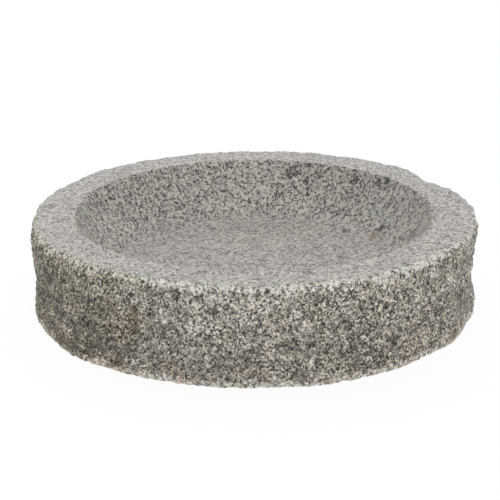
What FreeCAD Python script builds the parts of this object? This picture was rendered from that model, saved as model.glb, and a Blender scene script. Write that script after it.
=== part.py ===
# A low birdbath cut from one block of granite: hewn side, flat honed rim and a ground bowl (millimetres)
import FreeCAD, Part
import math
import os
import random
import Sketcher

# Driving dimensions, and what each one measures on the stone
SIZES = {
    "stone_height": (85, "sawn base to honed rim"),
    "base_diameter": (409, "mean width of the sawn base"),
    "shoulder_diameter": (406, "mean width of the hewn side where the rim's broken edge starts"),
    "rim_diameter": (400, "mean width across the rim, inside its broken edge"),
    "rim_break": (9, "height of the broken edge under the rim"),
    "rim_width": (36, "flat rim, from its mean outer edge to the bowl's mouth"),
    "bowl_depth": (54, "rim to the middle of the bowl's floor"),
    "floor_dish": (2.5, "how much lower the floor's middle lies than its edge"),
    "wall_run": (40, "how far the bowl's wall leans in on its way to the floor"),
    "wall_radius": (240, "hollow curve of the bowl's wall"),
    "heel_radius": (30, "rounding where the wall meets the floor"),
    "lip_radius": (1, "rounding of the bowl's mouth"),
    "swell_depth": (5, "from the broad lumps of the hewn side to the dips between them"),
    "swell_rise": (140, "height in which the broad lumps come round again"),
    "hew_depth": (3, "from the ridges between struck facets to their low corners"),
    "hew_corners": (96, "struck corners counted round the block"),
    "hew_bands": (7, "bands of struck facets from the base to the rim's broken edge"),
}

# The large flakes that came off the side: bearing of the middle from +X and its height above the base,
# how far each reaches round and up the side, and its depth
FLAKE_SIZES = ("bearing", "height", "width", "rise", "depth")
FLAKES = {
    "rim_flake": (26, 85, 28, 30, 9),
    "right_flake": (354, 34, 66, 20, 6.5),
    "left_flake": (186, 30, 66, 22, 5.5),
    "front_flake": (284, 50, 30, 24, 3),
    "back_flake": (112, 44, 40, 26, 4),
}

# The broad lumps are three waves: how many go round the block, where each starts, and how far it leans
SWELLS = ((5, 40, 0.4), (11, 150, -0.7), (17, 300, 1))

# Two lengths closer than this are the same
SAME = 1e-4


def fill_sheet(doc):
    """Write every driving dimension to its own named cell."""
    sheet = doc.addObject("Spreadsheet::Sheet", "sizes")
    rows = [(name, value, note) for name, (value, note) in SIZES.items()]
    for flake, values in FLAKES.items():
        for size, value in zip(FLAKE_SIZES, values):
            rows.append((flake + "_" + size, value, size + " of a large flake"))
    for row, (name, value, note) in enumerate(rows, start=1):
        sheet.set(f"A{row}", name)
        sheet.set(f"B{row}", str(value))
        sheet.set(f"C{row}", note)
        sheet.setAlias(f"B{row}", name)
    doc.recompute()
    return sheet


def hewn_levels(sheet):
    """Height and mean radius of each outline of the block, from the sawn base to the rim."""
    bands = int(sheet.hew_bands)
    shoulder = sheet.stone_height - sheet.rim_break
    levels = []
    for band in range(bands + 1):
        share = band / bands
        width = sheet.base_diameter * (1 - share) + sheet.shoulder_diameter * share
        levels.append((shoulder * share, width / 2))
    levels.append((sheet.stone_height, sheet.rim_diameter / 2))
    return levels


def swell(sheet, bearing, height):
    """Broad lumps of the hewn side, which lean as they climb."""
    climb = 360 * height / sheet.swell_rise
    waves = [math.sin(math.radians(count * bearing + start + lean * climb)) for count, start, lean in SWELLS]
    return sheet.swell_depth / 2 * sum(waves) / len(waves)


def flake_bite(sheet, bearing, height):
    """How deep the large flakes cut into the side at one place."""
    around = math.pi * sheet.shoulder_diameter / 360
    bite = 0
    for flake in FLAKES:
        turn = (bearing - sheet.get(flake + "_bearing") + 180) % 360 - 180
        across = turn * around / sheet.get(flake + "_width")
        upward = (height - sheet.get(flake + "_height")) / sheet.get(flake + "_rise")
        bite += sheet.get(flake + "_depth") * math.exp(-across ** 2 - upward ** 2)
    return bite


def hewn_outline(sheet, level, height, mean_radius):
    """Corners of one outline: every second level starts half a step on, and no step is like the next."""
    chance = random.Random(level)
    corners = []
    for corner in range(int(sheet.hew_corners)):
        step = corner + 0.5 * (level % 2) + chance.uniform(-0.25, 0.25)
        bearing = 360 * step / sheet.hew_corners
        radius = mean_radius + sheet.hew_depth * chance.uniform(-0.5, 0.5)
        radius += swell(sheet, bearing, height) - flake_bite(sheet, bearing, height)
        angle = math.radians(bearing)
        corners.append(FreeCAD.Vector(radius * math.cos(angle), radius * math.sin(angle), height))
    return corners


def flat_face(*corners):
    """A plane face through its corners in turn."""
    return Part.Face(Part.makePolygon(corners + corners[:1]))


def hewn_block(doc, sheet):
    """The rough block: struck facets between uneven outlines, flat at the sawn base and at the rim."""
    outlines = [hewn_outline(sheet, level, *place) for level, place in enumerate(hewn_levels(sheet))]
    faces = [flat_face(*outlines[0]), flat_face(*outlines[-1])]
    for level, (lower, upper) in enumerate(zip(outlines, outlines[1:])):
        for corner, (low, high) in enumerate(zip(lower, upper)):
            next_low = lower[(corner + 1) % len(lower)]
            next_high = upper[(corner + 1) % len(upper)]
            if level % 2:
                faces.append(flat_face(low, next_high, high))
                faces.append(flat_face(low, next_low, next_high))
            else:
                faces.append(flat_face(low, next_low, high))
                faces.append(flat_face(next_low, next_high, high))
    block = doc.addObject("Part::Feature", "hewn_block")
    block.Shape = Part.Solid(Part.Shell(faces))
    return block


def bowl_profile(body, sheet):
    """Half of the bowl's section: axis, dished floor, hollow wall and an open top above the rim."""
    rim = sheet.stone_height
    floor = rim - sheet.bowl_depth
    mouth_radius = sheet.rim_diameter / 2 - sheet.rim_width
    floor_radius = mouth_radius - sheet.wall_run
    axis_foot = FreeCAD.Vector(0, floor)
    heel = FreeCAD.Vector(floor_radius, floor + sheet.floor_dish)
    mouth = FreeCAD.Vector(mouth_radius, rim)
    above_mouth = FreeCAD.Vector(mouth_radius, rim + sheet.bowl_depth)
    axis_head = FreeCAD.Vector(0, rim + sheet.bowl_depth)

    # The floor's centre of curvature lies on the axis, as far from the heel as from the floor's middle
    floor_curve = (floor_radius ** 2 + sheet.floor_dish ** 2) / (2 * sheet.floor_dish)
    floor_centre = FreeCAD.Vector(0, floor + floor_curve)
    floor_circle = Part.Circle(floor_centre, FreeCAD.Vector(0, 0, 1), floor_curve)
    floor_end = math.atan2(heel.y - floor_centre.y, heel.x)

    # The wall's centre of curvature lies over the bowl, square to the chord from heel to mouth
    chord = mouth - heel
    inward = FreeCAD.Vector(-chord.y, chord.x).normalize()
    centre = (heel + mouth) / 2 + inward * math.sqrt(sheet.wall_radius ** 2 - (chord.Length / 2) ** 2)
    wall_circle = Part.Circle(centre, FreeCAD.Vector(0, 0, 1), sheet.wall_radius)
    wall_start = math.atan2(heel.y - centre.y, heel.x - centre.x)
    wall_end = math.atan2(mouth.y - centre.y, mouth.x - centre.x)

    plane = next(item for item in body.Origin.OriginFeatures if item.Role == "XZ_Plane")
    sketch = body.newObject("Sketcher::SketchObject", "bowl_profile")
    sketch.AttachmentSupport = (plane, "")
    sketch.MapMode = "FlatFace"
    axis = sketch.addGeometry(Part.LineSegment(axis_head, axis_foot))
    bottom = sketch.addGeometry(Part.ArcOfCircle(floor_circle, -math.pi / 2, floor_end))
    wall = sketch.addGeometry(Part.ArcOfCircle(wall_circle, wall_start, wall_end))
    throat = sketch.addGeometry(Part.LineSegment(mouth, above_mouth))
    lid = sketch.addGeometry(Part.LineSegment(above_mouth, axis_head))

    start, end, middle, origin, upright = 1, 2, 3, -1, -2
    sides = (axis, bottom, wall, throat, lid)
    for side, following in zip(sides, sides[1:] + sides[:1]):
        sketch.addConstraint(Sketcher.Constraint("Coincident", side, end, following, start))
    sketch.addConstraint(Sketcher.Constraint("PointOnObject", axis, start, upright))
    sketch.addConstraint(Sketcher.Constraint("PointOnObject", axis, end, upright))
    sketch.addConstraint(Sketcher.Constraint("PointOnObject", bottom, middle, upright))
    sketch.addConstraint(Sketcher.Constraint("Vertical", throat))
    sketch.addConstraint(Sketcher.Constraint("Horizontal", lid))
    sized = (
        ("mouth_radius", ("DistanceX", origin, start, wall, end, mouth_radius),
         "sizes.rim_diameter / 2 - sizes.rim_width"),
        ("rim_height", ("DistanceY", origin, start, wall, end, rim), "sizes.stone_height"),
        ("floor_radius", ("DistanceX", origin, start, wall, start, floor_radius),
         "sizes.rim_diameter / 2 - sizes.rim_width - sizes.wall_run"),
        ("floor_height", ("DistanceY", origin, start, bottom, start, floor),
         "sizes.stone_height - sizes.bowl_depth"),
        ("floor_dish", ("DistanceY", bottom, start, bottom, end, sheet.floor_dish), "sizes.floor_dish"),
        ("wall_radius", ("Radius", wall, sheet.wall_radius), "sizes.wall_radius"),
        ("throat_height", ("DistanceY", throat, start, throat, end, sheet.bowl_depth), "sizes.bowl_depth"),
    )
    for name, parts, formula in sized:
        index = sketch.addConstraint(Sketcher.Constraint(*parts))
        sketch.renameConstraint(index, name)
        sketch.setExpression("Constraints." + name, formula)
    return sketch


def ring_edge(shape, radius, height):
    """Name of the round edge of one radius, centred on the axis at one height."""
    for number, edge in enumerate(shape.Edges, start=1):
        if not isinstance(edge.Curve, Part.Circle):
            continue
        if abs(edge.Curve.Radius - radius) < SAME and abs(edge.Curve.Center.z - height) < SAME:
            return f"Edge{number}"
    raise RuntimeError(f"no round edge of radius {radius} at height {height}")


def round_edge(doc, body, base, name, edge, size):
    """Round one edge of the body by the radius in one cell of the sheet."""
    rounding = body.newObject("PartDesign::Fillet", name)
    rounding.Base = (base, [edge])
    rounding.setExpression("Radius", "sizes." + size)
    doc.recompute()
    return rounding


def basin(doc, sheet):
    """The finished stone: the hewn block with its bowl ground out and the bowl's edges rounded."""
    block = hewn_block(doc, sheet)
    body = doc.addObject("PartDesign::Body", "basin")
    body.Label = "basin"
    body.BaseFeature = block
    sketch = bowl_profile(body, sheet)
    bowl = body.newObject("PartDesign::Groove", "bowl")
    bowl.Profile = sketch
    bowl.ReferenceAxis = (sketch, ["V_Axis"])
    bowl.Angle = 360
    doc.recompute()

    mouth_radius = sheet.rim_diameter / 2 - sheet.rim_width
    floor_radius = mouth_radius - sheet.wall_run
    heel_height = sheet.stone_height - sheet.bowl_depth + sheet.floor_dish
    least_bowl = math.pi * floor_radius ** 2 * (sheet.stone_height - heel_height)
    if block.Shape.Volume - bowl.Shape.Volume < least_bowl:
        raise RuntimeError("the bowl was not cut out of the block")
    mouth = ring_edge(bowl.Shape, mouth_radius, sheet.stone_height)
    lip = round_edge(doc, body, bowl, "lip", mouth, "lip_radius")
    heel = ring_edge(lip.Shape, floor_radius, heel_height)
    round_edge(doc, body, lip, "heel", heel, "heel_radius")
    body.Placement = FreeCAD.Placement()
    return body


doc = FreeCAD.newDocument("birdbath")
stone = basin(doc, fill_sheet(doc))

for item in doc.Objects:
    if "Invalid" in item.State or "Error" in item.State:
        raise RuntimeError(f"{item.Label} did not build: {item.State}")
if stone.Shape.isNull() or not stone.Shape.isValid() or len(stone.Shape.Solids) != 1:
    raise RuntimeError("the basin is not one sound solid")

os.makedirs("parts", exist_ok=True)
stone.Shape.exportStep(f"parts/{stone.Label}.step")
print(f"{stone.Label}: {stone.Shape.Volume / 1e6:.3f} litres of stone")
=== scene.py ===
import math

import bmesh
import bpy
from mathutils import Matrix, Quaternion, Vector, noise
from mathutils.bvhtree import BVHTree


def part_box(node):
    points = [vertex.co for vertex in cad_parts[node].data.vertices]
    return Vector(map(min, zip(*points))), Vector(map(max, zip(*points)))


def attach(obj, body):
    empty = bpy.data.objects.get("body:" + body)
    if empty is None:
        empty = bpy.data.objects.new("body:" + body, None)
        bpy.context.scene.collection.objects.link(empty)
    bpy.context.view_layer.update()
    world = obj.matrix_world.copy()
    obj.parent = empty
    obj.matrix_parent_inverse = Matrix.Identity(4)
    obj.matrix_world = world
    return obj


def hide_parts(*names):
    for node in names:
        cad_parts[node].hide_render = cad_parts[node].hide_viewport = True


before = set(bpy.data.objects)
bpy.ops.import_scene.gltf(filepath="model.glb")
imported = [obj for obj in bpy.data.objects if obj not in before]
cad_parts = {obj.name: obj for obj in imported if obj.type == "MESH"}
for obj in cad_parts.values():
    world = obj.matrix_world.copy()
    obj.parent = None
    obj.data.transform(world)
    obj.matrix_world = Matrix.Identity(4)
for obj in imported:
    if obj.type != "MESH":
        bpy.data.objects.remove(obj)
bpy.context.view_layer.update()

# Basin: the whole birdbath, one block of grey speckled granite. It was sawn flat below, broken to a
# round with hammer and pitching tool, ground out to a bowl and honed on its rim. Nothing is fastened
# to it. Lengths are in metres.

rim_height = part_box("basin")[1].z
cut_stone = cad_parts["basin"].data
solid = BVHTree.FromPolygons(
    [corner.co for corner in cut_stone.vertices],
    [facet.vertices[:] for facet in cut_stone.polygons],
)


def ground_height(radius):
    """Height of the bowl or the rim at a radius, met from above on the front bearing."""
    return solid.ray_cast(Vector((0, -radius, 1)), Vector((0, 0, -1)))[0].z


def hewn_reach(outward, height):
    """Radius of the hewn side at a height, met from outside along one bearing."""
    skin = 0.0002
    level = min(max(height, skin), rim_height - skin)
    return solid.ray_cast(outward + Vector((0, 0, level)), -outward)[0].xy.length


def base_reach(outward):
    """Radius of the base edge along one bearing, evened out over a few degrees of it."""
    turn_step = 0.015
    turns = [Matrix.Rotation(step * turn_step, 3, "Z") for step in range(-3, 4)]
    return sum(hewn_reach(turn @ outward, 0) for turn in turns) / len(turns)


near_axis = 0.0001
bowl_floor = ground_height(near_axis)
floor_edge = 0.112
wear_low = 0.1600
lip_low = 0.1636
lip_top = 0.1647
lip_hold = 0.0004
wear_top = 0.1720
rim_inner = 0.190
rim_outer = 0.1962
arris = 0.200
base_edge = 0.204
sawn_margin = 0.196

# The section's corners in order: radius, height, and the rows of points up to the next corner.
section = {
    "bowl middle": (0, bowl_floor, 7),
    "floor edge": (floor_edge, ground_height(floor_edge), 18),
    "wear low": (wear_low, ground_height(wear_low), 5),
    "lip foot": (lip_low - lip_hold, ground_height(lip_low - lip_hold), 0),
    "lip low": (lip_low, ground_height(lip_low), 2),
    "lip top": (lip_top, rim_height, 0),
    "lip back": (lip_top + lip_hold, rim_height, 6),
    "wear top": (wear_top, rim_height, 3),
    "rim inner": (rim_inner, rim_height, 2),
    "rim outer": (rim_outer, rim_height, 4),
    "arris": (arris, rim_height, 55),
    "base edge": (base_edge, 0, 2),
    "sawn margin": (sawn_margin, 0, 2),
    "base middle": (0, 0, 0),
}

stone = bmesh.new()
way = stone.verts.layers.float.new("way")
# The hollow layer keeps the relief that the hewn finish reads for its painted shade and painted light.
hollow = stone.verts.layers.float.new("hollow")
corners = []
way_to = {}
gone = 0.0
for name, (radius, height, _) in section.items():
    corner = stone.verts.new((radius, 0, height))
    if corners:
        gone += (corner.co - corners[-1].co).length
    corner[way] = gone
    way_to[name] = gone
    corners.append(corner)
way_lip = way_to["lip top"]
way_rim = way_to["rim inner"]
way_arris = way_to["arris"]
way_base = way_to["base edge"]
way_end = way_to["base middle"]
runs = [stone.edges.new(ends) for ends in zip(corners, corners[1:])]
for run, (*_, rows) in zip(runs, section.values()):
    if rows:
        bmesh.ops.subdivide_edges(stone, edges=[run], cuts=rows)

# One eighth is spun, then doubled three times, so that every eighth has the same points.
bearings = 840
sectors = 8
sector = 2 * math.pi / sectors
bmesh.ops.spin(
    stone,
    geom=stone.verts[:] + stone.edges[:],
    cent=(0, 0, 0),
    axis=(0, 0, 1),
    dvec=(0, 0, 0),
    angle=sector,
    steps=bearings // sectors,
    use_merge=False,
    use_duplicate=False,
)
for sectors_made in (1, 2, 4):
    made = bmesh.ops.duplicate(stone, geom=stone.verts[:] + stone.edges[:] + stone.faces[:])
    bmesh.ops.rotate(
        stone,
        verts=[item for item in made["geom"] if isinstance(item, bmesh.types.BMVert)],
        cent=(0, 0, 0),
        matrix=Matrix.Rotation(sectors_made * sector, 3, "Z"),
    )
touching = 1e-6
bmesh.ops.remove_doubles(stone, verts=stone.verts[:], dist=touching)
bmesh.ops.recalc_face_normals(stone, faces=stone.faces[:])

# The spun stone is seated on the solid: the bowl from above, the rim and the hewn side from outside.
for point in stone.verts:
    radius = point.co.xy.length
    if radius < touching:
        continue
    outward = Vector((point.co.x, point.co.y, 0)) / radius
    if point[way] <= way_lip:
        point.co.z = ground_height(radius)
    elif point[way] <= way_arris:
        share = (radius - lip_top) / (arris - lip_top)
        reach = lip_top + share * (hewn_reach(outward, rim_height) - lip_top)
        point.co = outward * reach + Vector((0, 0, rim_height))
    elif point[way] < way_base:
        point.co = outward * hewn_reach(outward, point.co.z) + Vector((0, 0, point.co.z))
    else:
        point.co = outward * base_reach(outward) * (radius / base_edge)

smoothing_passes = 10
side = [point for point in stone.verts if way_arris < point[way] < way_base - touching]
for _ in range(smoothing_passes):
    bmesh.ops.smooth_vert(
        stone, verts=side, factor=0.5, use_axis_x=True, use_axis_y=True, use_axis_z=True
    )
stone.normal_update()


def lip_round(outward):
    """Radius of the worn mouth at a bearing: none behind, largest at the front left and front right."""
    largest = 0.011
    back_limit = 0.45
    fading = 0.55
    side_start = 0.6
    front_share = 0.3
    nearer = min(max((back_limit - outward.y) / fading, 0), 1)
    aside = min(abs(outward.x) / side_start, 1)
    return largest * nearer * (front_share + (1 - front_share) * aside)


# A rounded lip of radius 1 takes this much of the section on each side and lowers the lip by this.
lip_run = 0.58
lip_drop = 0.185
wear_reach = 0.012
for point in stone.verts:
    from_lip = abs(point[way] - way_lip)
    if from_lip > wear_reach:
        continue
    rounding = lip_round(point.co / point.co.xy.length)
    taken = lip_run * rounding
    if from_lip < taken:
        point.co.z -= lip_drop * rounding * (1 - from_lip / taken) ** 2

# The damage to the stone is drawn in millimetres. The noise's vectors start from the clock unless they
# are seeded.
millimetres = 1000
noise.seed_set(2)


def arris_bite(outward):
    """How far the broken top edge is chipped back at a bearing, in metres."""
    flake_size = 14
    chip_size = 5.5
    crumb_size = 2.4
    least = 0.15
    spot = outward * (arris * millimetres)
    chips = 1.0 + 1.7 * noise.noise(spot / flake_size) + 1.6 * noise.noise(spot / chip_size)
    return max(least, chips + 1.1 * noise.noise(spot / crumb_size)) / millimetres


def heel_chip(outward):
    """How far the base edge is chipped up at a bearing, in metres."""
    flake_size = 13
    chip_size = 5
    crumb_size = 2.5
    draw = Vector((0, 0, 90))
    spot = outward * (base_edge * millimetres) + draw
    chips = 0.1 + 0.8 * noise.noise(spot / flake_size) + 1.0 * noise.noise(spot / chip_size)
    return max(0.0, chips + 0.8 * noise.noise(spot / crumb_size)) / millimetres


def struck_relief(place):
    """Height of the broken surface over its facet at a place, in millimetres."""
    draw = Vector((0, 0, 1230))
    scar_size = 15
    scar_bend_size = 9
    chip_size = 6
    chip_bend_size = 4
    lump_size = 11
    grit_size = 2.9
    spot = place * millimetres + draw
    scars = noise.voronoi(spot / scar_size + noise.noise_vector(spot / scar_bend_size) * 0.35)[0]
    chips = noise.voronoi(spot / chip_size + noise.noise_vector(spot / chip_bend_size) * 0.4)[0]
    lumps = 1.8 * (scars[0] - 0.6) + 1.2 * noise.noise(spot / lump_size)
    return lumps + 1.3 * (chips[0] - 0.45) + 1.1 * noise.noise(spot / grit_size)


pit_place = Vector((-0.0962, -0.1782, 0.049))
pit_width = 0.0036
pit_length = 0.0105
pit_depth = 0.0028


def chisel_pit(place):
    """Depth of the one upright chisel mark, halfway up on the viewer's left."""
    aside = (place - pit_place).xy.length / pit_width
    along = (place - pit_place).z / pit_length
    return pit_depth * math.exp(-aside ** 2 - along ** 2)


# How far from its edge each kind of damage fades out, and the share of it that goes another way.
bite_on_rim = 0.005
bite_on_side = 0.004
bite_drop = 0.45
bite_drop_on_rim = 0.0011
relief_under_arris = 0.003
relief_over_base = 0.006
relief_lost_at_base = 0.6
chip_over_base = 0.004
chip_under_base = 0.0022
chip_inset = 0.5
chip_inset_over_base = 0.003
level_hollow = 0.5
hollow_span = 4.5
same_row = 1e-7
moves = []
for point in stone.verts:
    radius = point.co.xy.length
    if point[way] < way_lip or radius < lip_top:
        continue
    outward = Vector((point.co.x, point.co.y, 0)) / radius
    below = point[way] - way_arris
    above = way_base - point[way]
    bite = arris_bite(outward)
    chip = heel_chip(outward)
    if below <= same_row:
        inset = -bite * math.exp(below / bite_on_rim)
        drop = -bite_drop * bite * math.exp(below / bite_drop_on_rim)
        moves.append((point, outward * inset + Vector((0, 0, drop)), level_hollow))
    elif above >= -same_row:
        relief = struck_relief(point.co)
        rise = relief / millimetres * (1 - math.exp(-below / relief_under_arris))
        rise *= 1 - relief_lost_at_base * math.exp(-above / relief_over_base)
        inset = chip_inset * chip * math.exp(-above / chip_inset_over_base) + chisel_pit(point.co)
        shift = point.normal * rise - outward * bite * math.exp(-below / bite_on_side)
        shift -= outward * inset
        shift.z += chip * math.exp(-above / chip_over_base)
        moves.append((point, shift, level_hollow + relief / hollow_span))
    else:
        lift = chip * math.exp(above / chip_under_base)
        moves.append((point, Vector((0, 0, lift)), level_hollow))
for point, shift, height in moves:
    point.co += shift
    point[hollow] = height
for point in stone.verts:
    point.co.z = min(max(point.co.z, 0), rim_height)
    if point[way] > way_base + (base_edge - sawn_margin) - touching:
        point.co.z = 0


def bearing(place):
    """Angle of a place about the stone's axis, in radians."""
    return math.atan2(place.y, place.x)


def course_of(face):
    """How far along the section a face lies."""
    return round(sum(corner[way] for corner in face.verts) / len(face.verts), 7)


# The bmesh operators leave points and faces in no fixed order, so they are put in one.
ordered = sorted(stone.verts, key=lambda point: (point[way], bearing(point.co)))
for number, point in enumerate(ordered):
    point.index = number
stone.verts.sort()
ordered = sorted(stone.faces, key=lambda face: (course_of(face), bearing(face.calc_center_median())))
for number, face in enumerate(ordered):
    face.index = number
stone.faces.sort()

# Each face gets its finish, and its place on the map: the honed disc, the hewn side in two strips, one
# above the other, and the sawn disc.
honed_face, hewn_face, sawn_face = range(3)
chipped_by = 0.0002
honed_across, honed_up, honed_radius = 0.352, 0.648, 0.345
strip_start, strip_length, strip_top, strip_step, strip_width = 0.006, 0.988, 0.146, 0.148, 0.14
sawn_across, sawn_up, sawn_radius = 0.85, 0.84, 0.145
bake_map = stone.loops.layers.uv.new("OFBake")
for face in stone.faces:
    middle = face.calc_center_median()
    course = course_of(face)
    turn = bearing(middle)
    chipped = course > way_rim and middle.z < rim_height - chipped_by
    if course < way_arris and not chipped:
        face.material_index = honed_face
    elif course < way_base:
        face.material_index = hewn_face
    else:
        face.material_index = sawn_face
    face.smooth = True
    for loop in face.loops:
        corner = loop.vert
        angle = bearing(corner.co)
        if corner.co.xy.length < touching:
            angle = turn
        angle = turn + math.remainder(angle - turn, 2 * math.pi)
        if course < way_arris:
            reach = honed_radius * corner[way] / way_arris
            spot = (honed_across + reach * math.cos(angle), honed_up + reach * math.sin(angle))
        elif course < way_base:
            strip = 0 if turn < 0 else 1
            along = (angle + math.pi) / math.pi - strip
            depth = (corner[way] - way_arris) / (way_base - way_arris)
            height = strip_top + strip_step * strip - strip_width * depth
            spot = (strip_start + strip_length * along, height)
        else:
            reach = sawn_radius * (way_end - corner[way]) / (way_end - way_base)
            spot = (sawn_across + reach * math.cos(angle), sawn_up + reach * math.sin(angle))
        loop[bake_map].uv = spot

sharp_angle = 42
basin_mesh = bpy.data.meshes.new("granite_basin")
stone.to_mesh(basin_mesh)
stone.free()
basin_mesh.set_sharp_from_angle(angle=math.radians(sharp_angle))
basin = bpy.data.objects.new("granite_basin", basin_mesh)
bpy.context.scene.collection.objects.link(basin)


def add_node(tree, kind, sockets=None, **settings):
    """A node of one kind, with its settings, and each socket joined to another or given its value."""
    made = tree.nodes.new(kind)
    for name, value in settings.items():
        setattr(made, name, value)
    for socket, value in (sockets or {}).items():
        if isinstance(value, bpy.types.NodeSocket):
            tree.links.new(value, made.inputs[socket])
        else:
            made.inputs[socket].default_value = value
    return made


def blend_colours(tree, share, first, second, way_of_mixing="MIX"):
    """One colour laid over another by a share from 0 to 1."""
    mixed = add_node(
        tree,
        "ShaderNodeMix",
        {0: share, 6: first, 7: second},
        data_type="RGBA",
        blend_type=way_of_mixing,
    )
    return mixed.outputs[2]


def tint_by(tree, share, under, tint):
    """A colour multiplied by a tint, by a share from 0 to 1."""
    return blend_colours(tree, share, under, tint, "MULTIPLY")


def between(tree, value, low, high, start=0.0, end=1.0):
    """A value taken smoothly from one range to another, and held at its ends."""
    ranged = add_node(
        tree,
        "ShaderNodeMapRange",
        {"Value": value, 1: low, 2: high, 3: start, 4: end},
        interpolation_type="SMOOTHSTEP",
    )
    return ranged.outputs["Result"]


def reckon(tree, operation, first, second):
    """Two values taken together by one sum."""
    return add_node(tree, "ShaderNodeMath", {0: first, 1: second}, operation=operation).outputs[0]


def stretch_value(tree, value, factor, added):
    """A value times a factor, with a number added."""
    return add_node(
        tree, "ShaderNodeMath", {0: value, 1: factor, 2: added}, operation="MULTIPLY_ADD"
    ).outputs[0]


def vector_sum(tree, operation, *terms):
    """Two or three vectors taken together by one sum."""
    return add_node(tree, "ShaderNodeVectorMath", dict(enumerate(terms)), operation=operation).outputs


def cloudy(tree, spot, scale, detail):
    """A soft noise of one scale, read at a spot."""
    sockets = {"Vector": spot, "Scale": scale, "Detail": detail}
    return add_node(tree, "ShaderNodeTexNoise", sockets).outputs


def cells(tree, spot, scale):
    """Grains of one scale, read at a spot."""
    return add_node(tree, "ShaderNodeTexVoronoi", {"Vector": spot, "Scale": scale}).outputs


def parts_of(tree, colour):
    """The three parts of a colour from a noise or from grains, each a chance number of its own."""
    return add_node(tree, "ShaderNodeSeparateColor", {0: colour}).outputs


# The stone's minerals: pale crystals with ragged edges, and dark mica flakes that gather in clots. The
# scales say how many grains lie on a metre of stone.
ragged_scale = 420
crystal_scale = 440
flake_scale = 680
clot_scale = 240
knot_scale = 42
raggedness = (0.003, 0.003, 0.003)
middle_grey = (0.5, 0.5, 0.5)
dull_crystal = (0.184, 0.182, 0.172, 1)
grey_crystal = (0.288, 0.285, 0.274, 1)
pale_crystal = (0.368, 0.362, 0.344, 1)
white_crystal = (0.504, 0.492, 0.46, 1)
black_mica = (0.032, 0.031, 0.028, 1)
minerals = bpy.data.node_groups.new("granite_minerals", "ShaderNodeTree")
minerals.interface.new_socket("Spot", in_out="INPUT", socket_type="NodeSocketVector")
minerals.interface.new_socket("Mica Share", in_out="INPUT", socket_type="NodeSocketFloat")
minerals.interface.new_socket("Clot", in_out="INPUT", socket_type="NodeSocketFloat")
minerals.interface.new_socket("Colour", in_out="OUTPUT", socket_type="NodeSocketColor")
minerals.interface.new_socket("Mica", in_out="OUTPUT", socket_type="NodeSocketFloat")
minerals.interface.new_socket("Crystal", in_out="OUTPUT", socket_type="NodeSocketFloat")
minerals.interface.new_socket("Facet", in_out="OUTPUT", socket_type="NodeSocketFloat")
given = minerals.nodes.new("NodeGroupInput").outputs
ragged = cloudy(minerals, given["Spot"], ragged_scale, 2)["Color"]
ragged = vector_sum(minerals, "SUBTRACT", ragged, middle_grey)[0]
shifted = vector_sum(minerals, "MULTIPLY_ADD", ragged, raggedness, given["Spot"])[0]
crystals = cells(minerals, shifted, crystal_scale)
crystal_parts = parts_of(minerals, crystals["Color"])
flake_parts = parts_of(minerals, cells(minerals, shifted, flake_scale)["Color"])
clots = cloudy(minerals, given["Spot"], clot_scale, 2)["Fac"]
clotted = stretch_value(minerals, clots, 1.5, -0.75)
knots = cells(minerals, shifted, knot_scale)
knot_size = between(minerals, parts_of(minerals, knots["Color"])[0], 0.7, 1.0, 0.0, 0.3)
knot_depth = reckon(minerals, "SUBTRACT", knot_size, knots["Distance"])
knotted = between(minerals, knot_depth, -0.08, 0.08, 0.0, 0.32)
knotted = reckon(minerals, "MAXIMUM", knotted, given["Clot"])
flake_rank = reckon(minerals, "ADD", reckon(minerals, "ADD", flake_parts[0], clotted), knotted)
mica_edge = reckon(minerals, "SUBTRACT", 1.0, given["Mica Share"])
mica = between(minerals, reckon(minerals, "SUBTRACT", flake_rank, mica_edge), -0.05, 0.05)
pale = add_node(minerals, "ShaderNodeValToRGB", {0: crystal_parts[0]})
pale.color_ramp.elements[0].color = dull_crystal
pale.color_ramp.elements[1].color = white_crystal
pale.color_ramp.elements.new(0.25).color = grey_crystal
pale.color_ramp.elements.new(0.4).color = pale_crystal
coloured = blend_colours(minerals, mica, pale.outputs["Color"], black_mica)
tilt = vector_sum(minerals, "SUBTRACT", crystals["Color"], middle_grey)[0]
from_heart = vector_sum(minerals, "SUBTRACT", shifted, crystals["Position"])[0]
facet = vector_sum(minerals, "DOT_PRODUCT", from_heart, tilt)["Value"]
put_out = minerals.nodes.new("NodeGroupOutput").inputs
minerals.links.new(coloured, put_out["Colour"])
minerals.links.new(mica, put_out["Mica"])
minerals.links.new(crystal_parts[1], put_out["Crystal"])
minerals.links.new(facet, put_out["Facet"])


def start_finish(name, mica_share, stretch):
    """A new finish of the stone: its shader, and the minerals read on the stone's own coordinates."""
    finish = bpy.data.materials.new(name)
    finish.use_nodes = True
    tree = finish.node_tree
    coordinates = add_node(tree, "ShaderNodeTexCoord").outputs["Object"]
    grain = tree.nodes.new("ShaderNodeGroup")
    grain.node_tree = minerals
    tree.links.new(vector_sum(tree, "MULTIPLY", coordinates, stretch)[0], grain.inputs["Spot"])
    grain.inputs["Mica Share"].default_value = mica_share
    return finish, tree, coordinates, grain, tree.nodes["Principled BSDF"]


def nearness_to(tree, coordinates, place, reach, most):
    """A share that is largest at one place on the stone and fades out at a reach from it."""
    apart = vector_sum(tree, "DISTANCE", coordinates, place)["Value"]
    return between(tree, apart, reach, 0.4 * reach, 0.0, most)
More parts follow.
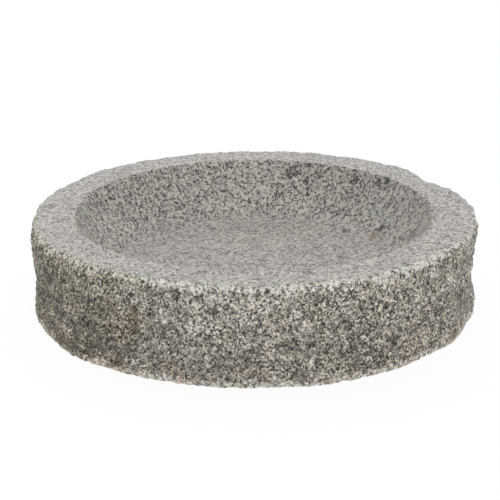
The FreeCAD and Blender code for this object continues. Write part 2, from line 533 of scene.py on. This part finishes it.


# The honed finish: rim and bowl, with more mica on the bowl's wall, painted light that makes the wall
# paler and its left part paler still, painted shade on its floor, seven dark clots and a spot of rust.
# Each spot has its place, its reach and its strength.
honed_stretch = (1.14, 1.14, 0.85)
rim_mica = 0.24
wall_mica = 0.285
clot_places = (
    ((0.040, 0.152, 0.074), 0.0085, 0.60),
    ((0.102, 0.121, 0.075), 0.0070, 0.48),
    ((0.133, 0.094, 0.082), 0.0055, 0.60),
    ((0.054, 0.143, 0.067), 0.0045, 0.60),
    ((0.056, 0.134, 0.057), 0.0035, 0.60),
    ((0.124, 0.055, 0.045), 0.0055, 0.60),
    ((0.091, 0.080, 0.033), 0.0070, 0.40),
)
rust_spot = ((0.117, 0.054, 0.038), 0.009, 0.9)
warmth_scale = 11
cool_tint = (0.94, 0.94, 0.93, 1)
warm_tint = (0.955, 0.938, 0.922, 1)
wall_light_tint = (1.135, 1.143, 1.14, 1)
left_wall_light = (1.13, 1.13, 1.13, 1)
floor_shade_colour = (0.24, 0.236, 0.224, 1)
floor_shade_share = 0.13
rust_tint = (0.66, 0.56, 0.47, 1)
honed, tree, coordinates, grain, shader = start_finish("honed_granite", rim_mica, honed_stretch)
across, away, level = add_node(tree, "ShaderNodeSeparateXYZ", {0: coordinates}).outputs
under_rim = between(tree, level, rim_height - 0.0015, rim_height - 0.0003, 1.0, 0.0)
off_floor = between(tree, level, bowl_floor + 0.004, bowl_floor + 0.014)
on_wall = reckon(tree, "MULTIPLY", off_floor, under_rim)
mica_share = between(tree, on_wall, 0.0, 1.0, rim_mica, wall_mica)
tree.links.new(mica_share, grain.inputs["Mica Share"])
clot = 0.0
for clot_place in clot_places:
    clot = reckon(tree, "MAXIMUM", clot, nearness_to(tree, coordinates, *clot_place))
tree.links.new(clot, grain.inputs["Clot"])
warmth = between(tree, cloudy(tree, coordinates, warmth_scale, 2)["Fac"], 0.42, 0.66)
tinted = tint_by(tree, 1.0, grain.outputs["Colour"], blend_colours(tree, warmth, cool_tint, warm_tint))
# Painted light: the bowl's wall is made paler than the rim.
tinted = tint_by(tree, on_wall, tinted, wall_light_tint)
# Painted light: the left part of the bowl's wall is made paler still.
left_wall_mask = reckon(tree, "MULTIPLY", between(tree, across, -0.07, -0.12), between(tree, away, 0.10, 0.03))
tinted = tint_by(tree, reckon(tree, "MULTIPLY", left_wall_mask, on_wall), tinted, left_wall_light)
# Painted shade: the bowl's floor is darkened towards grey.
floor_shading = reckon(tree, "MULTIPLY", reckon(tree, "SUBTRACT", under_rim, on_wall), floor_shade_share)
tinted = blend_colours(tree, floor_shading, tinted, floor_shade_colour)
tinted = tint_by(tree, nearness_to(tree, coordinates, *rust_spot), tinted, rust_tint)
tree.links.new(tinted, shader.inputs["Base Color"])
dullness = between(tree, grain.outputs["Crystal"], 0.0, 1.0, 0.4, 0.54)
dullness = reckon(tree, "ADD", dullness, reckon(tree, "MULTIPLY", under_rim, 0.14))
tree.links.new(dullness, shader.inputs["Roughness"])
bump = add_node(
    tree, "ShaderNodeBump", {"Height": grain.outputs["Crystal"], "Strength": 0.15, "Distance": 0.0003}
)
tree.links.new(bump.outputs["Normal"], shader.inputs["Normal"])
basin_mesh.materials.append(honed)

# The hewn finish: split crystals with painted glints and painted shadows on their own tone, painted
# shade in the hollows and painted light on the proud parts, pale chips along both edges, brown stains,
# painted shade on the left part and on the flanks, and painted light towards the top. Each strip of
# chips has its near height, its far height and its thickness.
hewn_stretch = (1.2, 1.2, 1.05)
hewn_mica = 0.24
patch_scale = 75
split_scale = 820
strewn_scale = 170
stain_scale = 28
rim_strip = (rim_height - 0.001, rim_height - 0.012, 1.15)
base_strip = (0.001, 0.011, 1.35)
hollow_shade_tint = (0.65, 0.65, 0.63, 1)
proud_light_tint = (1.30, 1.285, 1.255, 1)
rim_powder = ((1.02, 1.01, 0.97, 1), (0.86, 0.835, 0.765, 1))
base_powder = ((1.05, 0.985, 0.94, 1), (0.92, 0.87, 0.79, 1))
clean_tint = (1.05, 1.01, 0.965, 1)
stain_and_shade_tint = (0.87, 0.85, 0.785, 1)
foot_rust = (0.98, 0.895, 0.83, 1)
pit_levels = (0.057, 0.049, 0.041)
pit_spots = [((pit_place.x, pit_place.y, pit_level), 0.0065, 0.9) for pit_level in pit_levels]
pit_stain_and_shade_tint = (0.45, 0.40, 0.31, 1)
moss_patch = ((-0.108, -0.172, 0.040), 0.022, 0.5)
moss_tint = (0.97, 0.96, 0.84, 1)
palest = (0.97, 0.955, 0.925, 1)
dust_colour = (0.5, 0.49, 0.46, 1)
dust_film = 0.03
hewn, tree, coordinates, grain, shader = start_finish("hewn_granite", hewn_mica, hewn_stretch)
place_parts = add_node(tree, "ShaderNodeSeparateXYZ", {0: coordinates}).outputs
across = place_parts["X"]
level = place_parts["Z"]
patches = cloudy(tree, coordinates, patch_scale, 3)
# Painted glints and painted shadows: each small crystal cell is made lighter or darker on its own tone.
split_glint = parts_of(tree, cells(tree, coordinates, split_scale)["Color"])[0]
broken = tint_by(tree, 1.0, grain.outputs["Colour"], between(tree, split_glint, 0.0, 1.0, 0.52, 2.15))
# Painted shade in the hollows and painted light on the proud parts, from the mesh's relief and a broad
# noise.
relief = add_node(tree, "ShaderNodeAttribute", attribute_name="hollow").outputs["Fac"]
relief_light_and_shade = stretch_value(tree, patches["Fac"], 1.0, -0.5)
relief_light_and_shade = reckon(tree, "ADD", relief_light_and_shade, between(tree, relief, 0.15, 0.85))
broken = tint_by(tree, 1.0, broken, blend_colours(tree, relief_light_and_shade, hollow_shade_tint, proud_light_tint))
strewn = reckon(tree, "MULTIPLY", cloudy(tree, coordinates, strewn_scale, 2)["Fac"], 2.6)
scatter = reckon(tree, "ADD", stretch_value(tree, grain.outputs["Crystal"], 0.7, -1.85), strewn)
flecks = reckon(tree, "MULTIPLY", grain.outputs["Mica"], 0.8)
powder_tone = between(tree, parts_of(tree, patches["Color"])[1], 0.4, 0.6)
chip_glint = between(tree, split_glint, 0.0, 0.75, 0.6, 1.15)


def struck_edge(near, far, thick, powder, under):
    """Pale chips along a struck edge, thick at the near height and thinning out towards the far one."""
    nearness = between(tree, level, far, near, 0.0, thick)
    struck = between(tree, reckon(tree, "ADD", nearness, scatter), 0.5, 0.85, 0.0, 0.95)
    # The chips' tone varies with the same cells, partly their own tone and partly painted glints.
    glinted_powder = tint_by(tree, 1.0, blend_colours(tree, powder_tone, *powder), chip_glint)
    speckled = blend_colours(tree, flecks, glinted_powder, under)
    return blend_colours(tree, struck, under, speckled)


bruised = struck_edge(*rim_strip, rim_powder, broken)
bruised = struck_edge(*base_strip, base_powder, bruised)
stain = cloudy(tree, coordinates, stain_scale, 3)["Fac"]
# Brown stains, and painted shade that tints more of the side's left part with the same darker tint.
stains_and_leftward_shade = reckon(tree, "ADD", stain, between(tree, across, -0.16, -0.05, 0.22, 0.0))
stained_and_shaded = between(tree, stains_and_leftward_shade, 0.52, 0.74)
weathered = tint_by(tree, 1.0, bruised, blend_colours(tree, stained_and_shaded, clean_tint, stain_and_shade_tint))
rust = reckon(tree, "MULTIPLY", between(tree, stain, 0.46, 0.36), between(tree, level, 0.024, 0.004))
weathered = tint_by(tree, rust, weathered, foot_rust)
# Painted light and shade: the side is lighter towards the top and a little darker towards the foot.
weathered = tint_by(tree, 1.0, weathered, between(tree, level, 0.03, 0.075, 0.99, 1.21))
# The chisel pit is tinted brown and darkened, partly its own stain and partly painted shade.
for pit_spot in pit_spots:
    weathered = tint_by(tree, nearness_to(tree, coordinates, *pit_spot), weathered, pit_stain_and_shade_tint)
weathered = tint_by(tree, nearness_to(tree, coordinates, *moss_patch), weathered, moss_tint)
weathered = blend_colours(tree, 1.0, weathered, palest, "DARKEN")
weathered = blend_colours(tree, dust_film, weathered, dust_colour)
# Painted shade: the left flank, and a little of the right, are darkened.
painted_left_shade = between(tree, across, -0.12, -0.085, 1.32, 1.0)
painted_right_shade = between(tree, across, 0.05, 0.11, 0.0, 0.10)
painted_flank_shade = reckon(tree, "ADD", painted_left_shade, painted_right_shade)
weathered = add_node(tree, "ShaderNodeGamma", {"Color": weathered, "Gamma": painted_flank_shade}).outputs[0]
tree.links.new(weathered, shader.inputs["Base Color"])
shader.inputs["Roughness"].default_value = 0.7
bump = add_node(
    tree, "ShaderNodeBump", {"Height": grain.outputs["Facet"], "Strength": 1.0, "Distance": 1.5}
)
tree.links.new(bump.outputs["Normal"], shader.inputs["Normal"])
basin_mesh.materials.append(hewn)

# The sawn finish: the plain stone of the underside.
sawn_mica = 0.26
unstretched = (1, 1, 1)
sawn, tree, coordinates, grain, shader = start_finish("sawn_granite", sawn_mica, unstretched)
tree.links.new(grain.outputs["Colour"], shader.inputs["Base Color"])
shader.inputs["Roughness"].default_value = 0.7
basin_mesh.materials.append(sawn)

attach(basin, "root")
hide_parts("basin")

# Studio floor: a wide pale sheet that the stone stands on, not part of the object. It shows white and
# keeps the stone's shadow.


def backdrop_share(tree):
    """1 where the camera sees the studio, also in a sheen or through glass, and 0 for its light."""
    rays = add_node(tree, "ShaderNodeLightPath").outputs
    mirrored = reckon(tree, "MAXIMUM", rays["Is Glossy Ray"], rays["Is Transmission Ray"])
    return reckon(tree, "MAXIMUM", rays["Is Camera Ray"], mirrored)


floor_reach = 6
floor_grey = (0.75, 0.75, 0.75, 1)
white = (1, 1, 1, 1)
floor_whiteness = 0.93
floor_sheet = bmesh.new()
bmesh.ops.create_grid(floor_sheet, x_segments=1, y_segments=1, size=floor_reach)
floor_mesh = bpy.data.meshes.new("studio_floor")
floor_sheet.to_mesh(floor_mesh)
floor_sheet.free()
floor = bpy.data.objects.new("studio_floor", floor_mesh)
bpy.context.scene.collection.objects.link(floor)
pale_floor = bpy.data.materials.new("pale_floor")
pale_floor.use_nodes = True
tree = pale_floor.node_tree
sheet = tree.nodes["Principled BSDF"]
sheet.inputs["Roughness"].default_value = 1.0
shown = backdrop_share(tree)
tree.links.new(blend_colours(tree, shown, floor_grey, white), sheet.inputs["Base Color"])
whiteness = reckon(tree, "MULTIPLY", shown, floor_whiteness)
glow = add_node(tree, "ShaderNodeEmission", {"Color": white, "Strength": 1.0})
backing = add_node(
    tree, "ShaderNodeMixShader", {0: whiteness, 1: sheet.outputs[0], 2: glow.outputs[0]}
)
tree.links.new(backing.outputs[0], tree.nodes["Material Output"].inputs["Surface"])
floor_mesh.materials.append(pale_floor)

# Studio light: broad soft lights overhead, behind and in front, a low one in front and a little to the
# viewer's right, and a pale room that shows white to the camera and in the stone's sheen.


def hang_light(name, place, energy, spread):
    """A soft light from the direction of a place, spread over an angle in degrees."""
    light = bpy.data.lights.new(name, "SUN")
    light.energy = energy
    light.angle = math.radians(spread)
    lamp = bpy.data.objects.new(name, light)
    lamp.location = place
    lamp.rotation_mode = "QUATERNION"
    lamp.rotation_quaternion = (-lamp.location).to_track_quat("-Z", "Y")
    bpy.context.scene.collection.objects.link(lamp)


hang_light("overhead_light", (0, 0, 1.7), 0.80, 60)
hang_light("back_left_light", (-0.70, 1.00, 1.2), 1.25, 60)
hang_light("back_right_light", (0.70, 1.00, 1.2), 0.80, 60)
hang_light("front_light", (0, -1.20, 1.2), 0.80, 60)
hang_light("right_light", (0.42, -1.60, 0.36), 1.22, 50)
room_light = 0.02
room = bpy.data.worlds.new("pale_room")
room.use_nodes = True
bpy.context.scene.world = room
tree = room.node_tree
sky = tree.nodes["Background"]
sky.inputs["Color"].default_value = white
strength = between(tree, backdrop_share(tree), 0.0, 1.0, room_light, 1.0)
tree.links.new(strength, sky.inputs["Strength"])

# Camera: the photograph's own place, about 1.2 m off and 18 degrees above the rim, aimed at the stone's
# middle with less than half a degree of roll.
lens = bpy.data.cameras.new("viewer")
lens.sensor_width = 36
lens.lens = 90.39
camera = bpy.data.objects.new("viewer", lens)
camera.location = (0, -1.1004, 0.43496)
aim = Vector((-0.0036, 0, 0.0435))
roll = Quaternion((0, 0, 1), -0.0067)
camera.rotation_mode = "QUATERNION"
camera.rotation_quaternion = (aim - camera.location).to_track_quat("-Z", "Y") @ roll
bpy.context.scene.collection.objects.link(camera)
bpy.context.scene.camera = camera

bpy.context.scene.view_settings.view_transform = "Standard"
